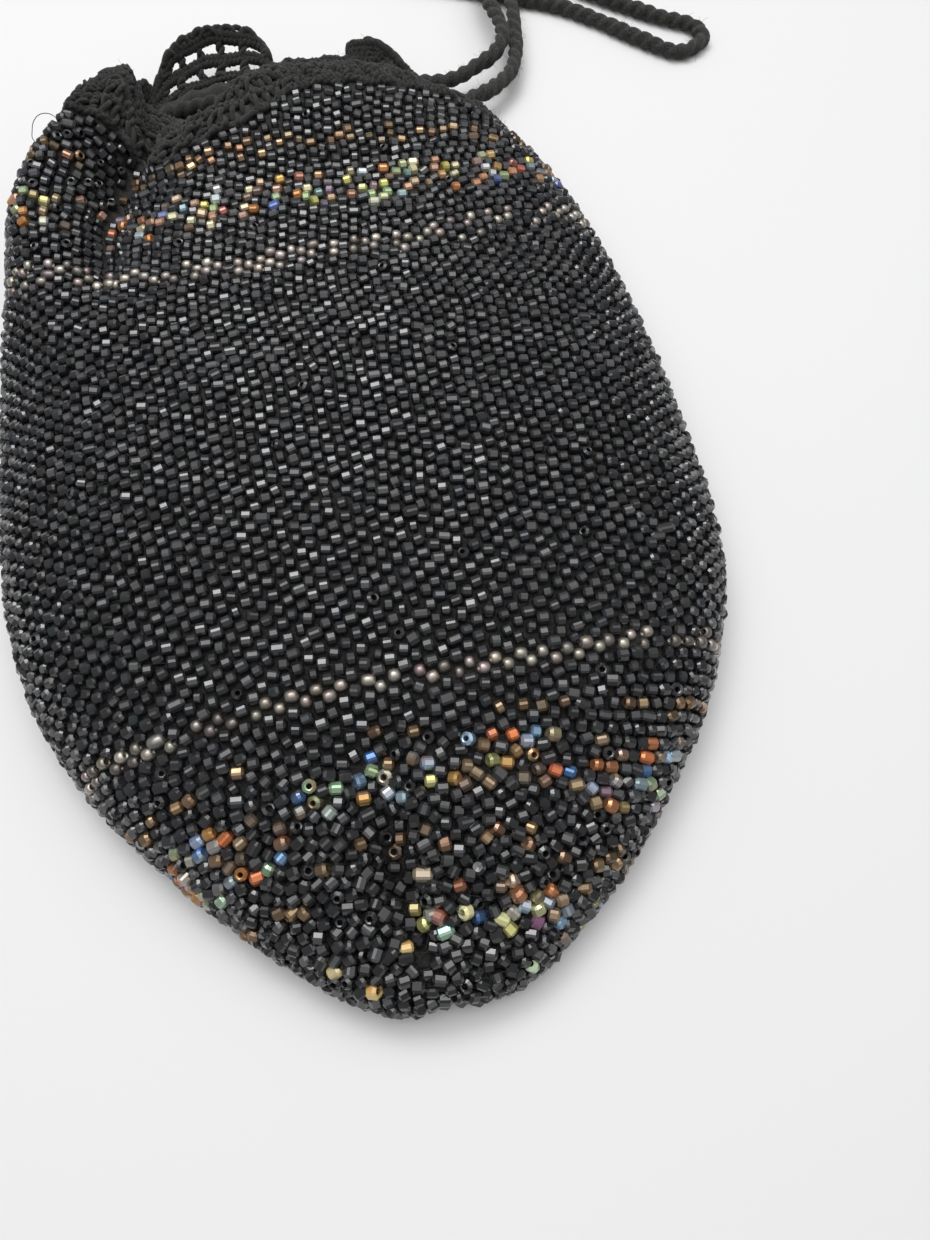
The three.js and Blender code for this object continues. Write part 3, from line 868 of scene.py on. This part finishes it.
def make_ground(material):
    rows = np.arange(GROUND_START, POUCH_ROWS + GROUND_RING_STEP / 2, GROUND_RING_STEP)
    angles = np.stack([even_angles(row, GROUND_COLUMNS)[:-1] for row in rows])
    grid_rows = np.repeat(rows[:, None], GROUND_COLUMNS, axis=1)
    round_turn = grid_rows * np.pi / ROUND_STEP
    stitch = np.arange(GROUND_COLUMNS) * FULL_TURN / STITCH_COLUMNS + round_turn / 2
    relief = GROUND_RELIEF * np.sin(stitch) * np.cos(round_turn)
    relief = relief + random.normal(0, GROUND_UNEVENNESS, relief.shape)
    outer = inset(angles, grid_rows, GROUND_INSET - relief)
    outer[..., 2] = np.maximum(outer[..., 2], GROUND_LOWEST)
    rings = np.arange(LINING_RING, len(rows) - LINING_RING // 2, LINING_RING)
    lined = np.append(rings, len(rows) - 1)
    inner = inset(angles[lined], grid_rows[lined], np.full_like(grid_rows[lined], POUCH_WALL + LINING))
    shape = Shape()
    add_shell(shape, outer, inner)
    add_ground_fibres(shape)
    for points in STRAY_THREADS:
        add_tube(shape, path_curve(points, STRAY_STEP), STRAY_RADIUS, THREAD_SIDES)
    ground = make_piece("crochet_ground", shape, material)
    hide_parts("pouch")


def add_ground_fibres(shape):
    """Ends of thread that show between the beads, most of them near the tip."""
    t = np.linspace(0, 1, FIBRE_POINTS)
    for _ in range(GROUND_FIBRES):
        row = FIRST_ROUND + (LAST_ROUND - FIRST_ROUND) * random.uniform() ** FIBRE_CROWDING
        angle = random.uniform(*FIBRE_ANGLES)
        length = random.uniform(*FIBRE_LENGTHS)
        heading = random.uniform(0, FULL_TURN)
        turn = math.degrees(length * math.cos(heading) / max(mean_radius(row), FIBRE_BEND))
        rise = np.sin(np.pi * t) * random.uniform(*FIBRE_RISES)
        rows = np.clip(row + length * math.sin(heading) * t, FIRST_ROUND, LAST_ROUND)
        path = inset(angle + turn * t, rows, GROUND_INSET - rise)
        add_tube(shape, path, FIBRE_RADIUS, FIBRE_SIDES)


# Beads


def cover_rise(angle):
    """How far the beads reach over the heading's foot."""
    rise = 0
    for *reach, height in COVERS:
        rise = rise + height * plateau(*reach, angle)
    return rise


def bead_rounds():
    """Angle and row of every bead, in half-offset rounds that each bead shares by area."""
    angles, rows = [], []
    count = 0
    for index, row in enumerate(np.arange(FIRST_ROUND, LAST_ROUND + COVER_REACH, ROUND_STEP)):
        points = surface(AROUND, row)
        steps = np.linalg.norm(np.diff(points, axis=0), axis=1)
        ahead = np.linalg.norm(surface(AROUND, row + ROUND_STEP) - points, axis=1)
        stretch = np.clip(ahead[1:] / ROUND_STEP, *STRETCH_LIMITS)
        areas = np.concatenate([[0], np.cumsum(steps * stretch * ROUND_STEP)])
        fitting = areas[-1] / (TIP_AREA + (BEAD_AREA - TIP_AREA) * smooth_step(*TIP_ROWS, row))
        if abs(fitting - count) > COUNT_SLACK or row < TIP_ROWS[0]:
            count = max(int(round(fitting)), 2)
        shares = (np.arange(count) + 0.5 * (index % 2)) / count
        round_angles = np.interp(shares * areas[-1], areas, AROUND)
        round_angles = round_angles[row <= LAST_ROUND + cover_rise(round_angles)]
        angles.append(round_angles)
        rows.append(np.full(len(round_angles), row))
    return np.concatenate(angles), np.concatenate(rows)


def relax(angles, rows):
    """Pushes beads that crowd each other apart, along the surface."""
    for _ in range(RELAX_STEPS):
        points = surface(angles, rows)
        reach = TIP_CLEARANCE + (BEAD_CLEARANCE - TIP_CLEARANCE) * smooth_step(*TIP_ROWS, rows)
        tree = kdtree.KDTree(len(points))
        for index, point in enumerate(points):
            tree.insert(point, index)
        tree.balance()
        push = np.zeros_like(points)
        for index, point in enumerate(points):
            for other, near, distance in tree.find_range(point, reach[index]):
                if near != index:
                    away = point - np.array(other)
                    push[index] += away / max(distance, RELAX_NEAREST) * (reach[index] - distance)
        step = RELAX_PROBE
        per_row = (surface(angles, rows + step) - surface(angles, rows - step)) / (2 * step)
        per_angle = (surface(angles + step, rows) - surface(angles - step, rows)) / (2 * step)
        a, b = (per_row**2).sum(1), (per_row * per_angle).sum(1)
        d = np.maximum((per_angle**2).sum(1), LEAST_SPREAD)
        along, around = (per_row * push).sum(1), (per_angle * push).sum(1)
        scale = RELAX_RATE / np.maximum(a * d - b * b, SMALL)
        row_move = np.clip(scale * (d * along - b * around), -RELAX_ROW_LIMIT, RELAX_ROW_LIMIT)
        angle_move = np.clip(scale * (a * around - b * along), -RELAX_ANGLE_LIMIT, RELAX_ANGLE_LIMIT)
        highest = np.maximum(LAST_ROUND + cover_rise(angles), rows)
        rows = np.clip(rows + row_move, LOWEST_ROW, highest)
        angles = (angles + angle_move) % 360
    return angles, rows


def in_bare_or_shade_patch(angles, rows):
    """Whether a place is in a patch where the beads are left out; along the lobe's crease the bare dark
    thread is painted shade.
    """
    bare = np.zeros(len(rows), bool)
    for angle, row, spread, reach in BARE_AND_SHADE_PATCHES:
        bare |= ((angles - angle) / spread) ** 2 + ((rows - row) / reach) ** 2 < 1
    return bare


def bead_kinds(angles, rows):
    """Kind of each bead, by the band that its row is in."""
    kinds = np.full(len(rows), "jet", dtype=object)
    chance = random.uniform(size=len(rows))
    for low, high, share, start, end, kind in BANDS:
        turned_by = (angles - start) % 360
        chosen = (rows >= low) & (rows < high) & (turned_by <= end - start) & (chance < share)
        kinds[chosen] = kind
    return kinds


def palette_colors(kind, count):
    colors = np.array([color for color, _ in PALETTES[kind]])
    weights = np.array([weight for _, weight in PALETTES[kind]], float)
    picked = colors[random.choice(len(colors), size=count, p=weights / weights.sum())]
    shade = random.normal(1, SHADE_SPREAD, (count, 1)) * random.normal(1, TINT_SPREAD, (count, 3))
    return np.clip(picked * shade, *COLOR_LIMITS)


def cut_section():
    """Polygon with its corners cut off."""
    corners = unit_circle(CUT_SIDES)
    before = corners + CORNER_CUT * (np.roll(corners, 1, axis=0) - corners)
    after = corners + CORNER_CUT * (np.roll(corners, -1, axis=0) - corners)
    return np.stack([before, after], axis=1).reshape(-1, 2)


def bead_template(section, profile, pierced):
    """Unit bead along x, with a hole through it or dimpled ends: vertices and lists of faces."""
    place, reach = HOLE_RIM
    sides = len(section)
    if pierced:
        profile = ((-place, reach),) + profile + ((place, reach),)
    rings = [np.concatenate([np.full((sides, 1), x / 2), section * r], axis=1) for x, r in profile]
    vertices = np.concatenate(rings)
    if pierced:
        return vertices, [grid_faces(len(profile) + 1, sides) % len(vertices)]
    ends = np.array([(-place / 2, 0, 0), (place / 2, 0, 0)])
    faces = [grid_faces(len(profile), sides), end_faces(len(profile), sides)]
    return np.concatenate([vertices, ends]), faces


def turned(vectors, axes, angles):
    """Vectors turned about axes."""
    cosine, sine = np.cos(angles)[:, None], np.sin(angles)[:, None]
    dot = (vectors * axes).sum(1)[:, None]
    return vectors * cosine + np.cross(axes, vectors) * sine + axes * dot * (1 - cosine)


def bead_axes(angles, rows):
    """Centre of each bead, the directions along its hole and across a facet, and whether it stands up."""
    count = len(rows)
    loose = 1 - smooth_step(*TIP_ROWS, rows)
    point, _, around, out = surface_frame(angles, rows)
    axis = turned(around, out, np.radians(random.normal(0, TURN_SPREAD[0] + TURN_SPREAD[1] * loose)))
    across = np.cross(out, axis)
    axis = turned(axis, across, np.radians(random.normal(0, TILT_SPREAD[0] + TILT_SPREAD[1] * loose)))
    on_lobe = plateau(*LOBE_ANGLES, angles) * smooth_step(*LOBE_ROWS, rows)
    everywhere, at_tip, at_lobe = STAND_SHARES
    stands = random.uniform(size=count) < everywhere + at_tip * loose + at_lobe * on_lobe
    lean = random.uniform(*STAND_LEAN, count)
    side = np.where(random.uniform(size=count) < 0.5, 1, -1)
    axis = np.where(stands[:, None], turned(axis, across, np.radians(lean * side)), axis)
    across = normalized(np.cross(out, axis))
    roll = np.radians(random.uniform(0, FACET_TURN, count))
    up = turned(np.cross(axis, across), axis, roll)
    centre = point - out * (BEAD_SINK + random.normal(0, SINK_SPREAD, count))[:, None]
    centre = centre + axis * random.normal(0, BEAD_SHIFT, (count, 1))
    return centre, axis, up, stands


def add_beads(shape, template, centre, axis, up, growth):
    """Beads of one form at their places, none below the surface that the bag lies on."""
    vertices, face_lists = template
    count = len(centre)
    stretch = np.where(random.uniform(size=count) < LONG_SHARE, LONG_STRETCH, 1.0)
    length = BEAD_LENGTH * random.normal(1, LENGTH_SPREAD, count) * stretch * growth
    radius = BEAD_RADIUS * random.normal(1, RADIUS_SPREAD, count) * growth
    placed = centre[:, None]
    for column, (direction, size) in enumerate(((axis, length), (up, radius), (np.cross(axis, up), radius))):
        placed = placed + direction[:, None] * (vertices[None, :, column, None] * size[:, None, None])
    lowest = placed[..., 2].min(axis=1)
    placed[..., 2] += np.maximum(REST_LEVEL - lowest, 0)[:, None]
    offsets = np.arange(count)[:, None, None] * len(vertices)
    shape.add(placed.reshape(-1, 3), *[(f[None] + offsets).reshape(-1, f.shape[1]) for f in face_lists])


def bead_colors(kind, painted_shades, vertices):
    """Colour of each vertex: two tones of the bead that blend round it, times the bead's painted shade."""
    count = len(painted_shades)
    first, second = palette_colors(kind, count), palette_colors(kind, count)
    phase = random.uniform(0, FULL_TURN, count)[:, None]
    turn = np.arctan2(vertices[:, 2], vertices[:, 1])[None, :]
    blend = (0.5 + 0.5 * np.sin(turn + phase))[..., None] * TONE_BLEND[kind]
    blended = first[:, None] * (1 - blend) + second[:, None] * blend
    return (blended * painted_shades[:, None, None]).reshape(-1, 3)


def make_beads():
    materials = {kind: bead_material(*glass) for kind, glass in BEAD_GLASS.items()}
    templates = {
        "cut": bead_template(cut_section(), CUT_PROFILE, False),
        "pierced": bead_template(cut_section(), CUT_PROFILE, True),
        "plain": bead_template(unit_circle(CUT_SIDES), CUT_PROFILE, False),
        "under": bead_template(unit_circle(CUT_SIDES), UNDER_PROFILE, False),
        "round": bead_template(unit_circle(ROUND_SIDES), ROUND_PROFILE, True),
    }
    angles, rows = bead_rounds()
    kinds = bead_kinds(angles, rows)
    angles, rows = relax(angles, rows)
    # Beads left out in patches; along the lobe's crease the dark thread shows as painted shade
    covered = ~in_bare_or_shade_patch(angles, rows)
    angles, rows, kinds = angles[covered], rows[covered], kinds[covered]
    centre, axis, up, stands = bead_axes(angles, rows)
    near_tip = 1 - smooth_step(*TIP_ROWS, rows)
    growth = 1 + TIP_GROWTH * near_tip
    # Painted shade: jet beads grow darker towards the tip
    painted_shades = np.where(kinds == "jet", 1 + (TIP_PAINTED_SHADE - 1) * near_tip, 1)
    forms = np.where(angles > PLAIN_FROM, "plain", "cut").astype(object)
    forms[stands | (kinds == "pale")] = "pierced"
    forms[kinds == "silver"] = "round"
    forms[(angles > UNDER_ANGLES[0]) & (angles < UNDER_ANGLES[1]) & (rows > UNDER_FROM_ROW)] = "under"
    zones = [(kind, *ALL_ROWS) for kind in BEAD_GLASS if kind != "jet"]
    zones += [("jet", low, high) for low, high in zip(JET_ZONES[:-1], JET_ZONES[1:])]
    for kind, low, high in zones:
        shape = Shape()
        colors = []
        for form, template in templates.items():
            chosen = (kinds == kind) & (rows >= low) & (rows < high) & (forms == form)
            if chosen.any():
                add_beads(shape, template, centre[chosen], axis[chosen], up[chosen], growth[chosen])
                colors.append(bead_colors(kind, painted_shades[chosen], template[0]))
        name = "beads_%s_%d" % (kind, low)
        make_piece(name, shape, materials[kind], kind == "silver", np.concatenate(colors))


# Crocheted heading


def heading_point(angle, share, depth):
    """Points on the heading, which drops and leans in at the front's notch."""
    _, lean = rim_drop(angle)
    row = POUCH_ROWS + JOIN_GAP + share * rim_rows(angle)
    return inset(angle, row, depth + lean * np.maximum(share, 0) ** 2)


def rib_lift(angles):
    """Rise of the gathers at evenly spaced angles, deeper where the heading's edge drops."""
    drop, _ = rim_drop(angles)
    turn = np.arange(len(angles)) / len(angles) * FULL_TURN * RIB_COUNT
    return RIB_DEPTH * (1 + NOTCH_GATHER * drop) * np.cos(turn)


def covered_share(angle):
    """Share of the heading's height that the beads cover."""
    return np.minimum(cover_rise(angle) / rim_rows(angle), COVERED_LIMIT)


def add_wall(shape, angles):
    """The heading's gathered core, which the stitches lie on."""
    lift = rib_lift(angles)
    shares = np.linspace(HEADING_FOOT, 1, HEADING_RINGS)
    depths = (HEADING_CORE - lift, HEADING_INSET + HEADING_WALL + LINING - lift)
    walls = [np.stack([heading_point(angles, share, depth) for share in shares]) for depth in depths]
    add_shell(shape, *walls)


def add_posts(shape):
    """Upright stitches of the heading, round over round."""
    posts = even_angles(HEADING_MIDDLE, POST_COUNT)[:-1]
    t = np.linspace(0, 1, POST_POINTS)
    for angle, lift in zip(posts, rib_lift(posts)):
        levels = np.linspace(covered_share(angle), 1, POST_ROUNDS + 1)
        for level in range(POST_ROUNDS):
            low, high = levels[level:level + 2]
            angles = angle + random.normal(*POST_LEAN) * (t - 0.5) + (level % 2) * 180 / POST_COUNT
            depth = POST_DEPTH - lift - POST_BULGE * np.sin(np.pi * t) + random.normal(0, POST_DEPTH_SPREAD)
            path = heading_point(angles, low + (high - low) * t, depth)
            add_twist(shape, path, random.uniform(*POST_RADII), random.normal(*POST_TWIST))


def add_chains(shape, ring):
    """Crocheted chains round the heading."""
    covered = covered_share(ring)
    for share in CHAIN_SHARES:
        place = covered + (1 - covered) * share
        _, along, _, out = surface_frame(ring, POUCH_ROWS + JOIN_GAP + place * rim_rows(ring))
        path = heading_point(ring, place, CHAIN_DEPTH - rib_lift(ring))
        add_braid(shape, path, along, out, CHAIN_RADIUS, CHAIN_PITCH, CHAIN_WIDTH)


def add_rim_loops(shape):
    """Small loops of thread that stand in a row on the heading's edge."""
    places = even_angles(POUCH_ROWS + HEADING_ROWS, RIM_LOOPS)
    t = np.linspace(0, np.pi, RIM_LOOP_POINTS)
    for start, end in zip(places[:-1], places[1:]):
        height = random.uniform(*RIM_LOOP_HEIGHTS)
        angles = start + (end - start) * (0.5 - RIM_LOOP_REACH * np.cos(t))
        shares = RIM_LOOP_FOOT + height * np.sin(t) / rim_rows(angles)
        path = heading_point(angles, shares, HEADING_INSET + random.normal(*RIM_LOOP_DEPTH))
        add_tube(shape, path, random.uniform(*RIM_LOOP_RADII))


def make_heading(material):
    shape = Shape()
    ring = even_angles(HEADING_MIDDLE, RIB_COUNT * RIB_COLUMNS)
    add_wall(shape, ring[:-1])
    add_posts(shape)
    add_chains(shape, ring)
    add_rim_loops(shape)
    add_fuzz(shape, HEADING_FUZZ)
    heading = make_piece("crochet_heading", shape, material)
    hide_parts("heading")


# Crocheted lace


def scallop_angles(start, end, across):
    """Angles at places across a scallop, which run from -1 to 1."""
    return start + (end - start) * (across + 1) / 2


def lace_point(angle, across, height, roll, level):
    """Points of the lace between the heading and the scallop's edge, with directions up it and out."""
    _, lean = rim_drop(angle)
    point, along, _, out = surface_frame(angle, POUCH_ROWS + JOIN_GAP + rim_rows(angle) + LACE_GAP)
    base = point - out * (HEADING_INSET + HEADING_WALL / 2 + lean)[:, None]
    bulge = np.maximum(0, 1 - np.abs(across) ** SCALLOP_FULLNESS) ** (1 / SCALLOP_FULLNESS)
    reach = level * (LACE_STRIP + (height - LACE_STRIP) * bulge)
    bend = np.maximum(np.radians(roll) * bulge / height, SMALL)[:, None]
    turn = bend * reach[:, None]
    middle = base + along * np.sin(turn) / bend - out * (1 - np.cos(turn)) / bend
    upward = along * np.cos(turn) - out * np.sin(turn)
    outward = out * np.cos(turn) + along * np.sin(turn)
    return middle, upward, outward


def add_lace_band(shape, angles, across, height, roll, level, thread):
    """Slightly wavy chain along the lace."""
    path, upward, outward = lace_point(angles, across, height, roll, level)
    turn = np.linspace(0, BAND_WAVES * FULL_TURN, len(path)) + random.uniform(0, FULL_TURN)
    path = path + upward * (BAND_WAVE * np.sin(turn))[:, None]
    add_braid(shape, path, upward, outward, thread, BAND_PITCH, thread * BAND_WIDTH)


def add_picots(shape, start, end, height, roll):
    """Small loops along a scallop's outer edge."""
    count = int(round((end - start) / PICOT_ANGLE))
    t = np.linspace(0, np.pi, PICOT_POINTS)
    edges = np.linspace(-PICOT_EDGE, PICOT_EDGE, count + 1)
    for low, high in zip(edges[:-1], edges[1:]):
        across = np.clip(low + (high - low) * (0.5 - PICOT_REACH * np.cos(t)), -LACE_EDGE, LACE_EDGE)
        levels = PICOT_LEVEL + np.sin(t) * random.uniform(*PICOT_RISES)
        path, _, outward = lace_point(scallop_angles(start, end, across), across, height, roll, levels)
        path = path + outward * random.normal(0, PICOT_SPREAD)
        add_tube(shape, path, random.uniform(*PICOT_RADII))


def add_bars(shape, start, end, height, roll):
    """Upright twisted bars between the bands of a scallop."""
    units = SCALLOP_GAPS * GAP_TO_BAR + SCALLOP_GAPS + 1
    for bar in range(SCALLOP_GAPS + 1):
        middle = 2 * (bar * (GAP_TO_BAR + 1) + 0.5) / units - 1
        for low, high in LACE_POSTS:
            slant = random.normal(0, BAR_SLANT) * np.linspace(-1, 1, BAR_POINTS)
            across = np.clip(middle + slant, -BAR_EDGE, BAR_EDGE)
            levels = np.linspace(low, high, BAR_POINTS)
            path, _, _ = lace_point(scallop_angles(start, end, across), across, height, roll, levels)
            add_twist(shape, path, random.uniform(*BAR_RADII), BAR_TURNS, random.uniform(0, FULL_TURN))


def make_lace(material):
    shape = Shape()
    next_starts = [scallop[0] for scallop in SCALLOPS[1:]] + [LACE_END]
    for (start, end, height, roll), following in zip(SCALLOPS, next_starts):
        across = np.linspace(-LACE_EDGE, LACE_EDGE, int((end - start) * POINTS_PER_DEGREE))
        for level, thread in LACE_BANDS:
            add_lace_band(shape, scallop_angles(start, end, across), across, height, roll, level, thread)
        add_picots(shape, start, end, height, roll)
        add_bars(shape, start, end, height, roll)
        gap = following - end
        if gap > PLAIN_OVERLAP:
            plain = np.linspace(end - PLAIN_OVERLAP, following + PLAIN_OVERLAP, int(gap * POINTS_PER_DEGREE))
            add_lace_band(shape, plain, np.ones_like(plain), height, roll, PLAIN_LEVEL, LACE_THREAD)
    add_fuzz(shape, LACE_FUZZ)
    lace = make_piece("crochet_lace", shape, material)
    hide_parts("lace_edge")


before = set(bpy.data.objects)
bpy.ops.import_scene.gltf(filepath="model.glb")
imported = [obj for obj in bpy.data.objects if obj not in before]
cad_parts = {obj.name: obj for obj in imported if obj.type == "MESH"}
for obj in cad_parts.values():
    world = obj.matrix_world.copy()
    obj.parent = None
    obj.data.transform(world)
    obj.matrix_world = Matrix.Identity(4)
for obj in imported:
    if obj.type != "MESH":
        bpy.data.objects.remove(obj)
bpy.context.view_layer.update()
set_camera()
set_stage()
cord_thread = thread_material("cord_thread", *CORD_THREAD)
crochet_thread = thread_material("crochet_thread", *CROCHET_THREAD)
ground_thread = thread_material("ground_thread", *GROUND_THREAD)
make_beads()
# The cord's held run gets the darker crochet thread as painted shade
make_cord(crochet_thread, cord_thread)
make_ground(ground_thread)
make_heading(crochet_thread)
make_lace(crochet_thread)
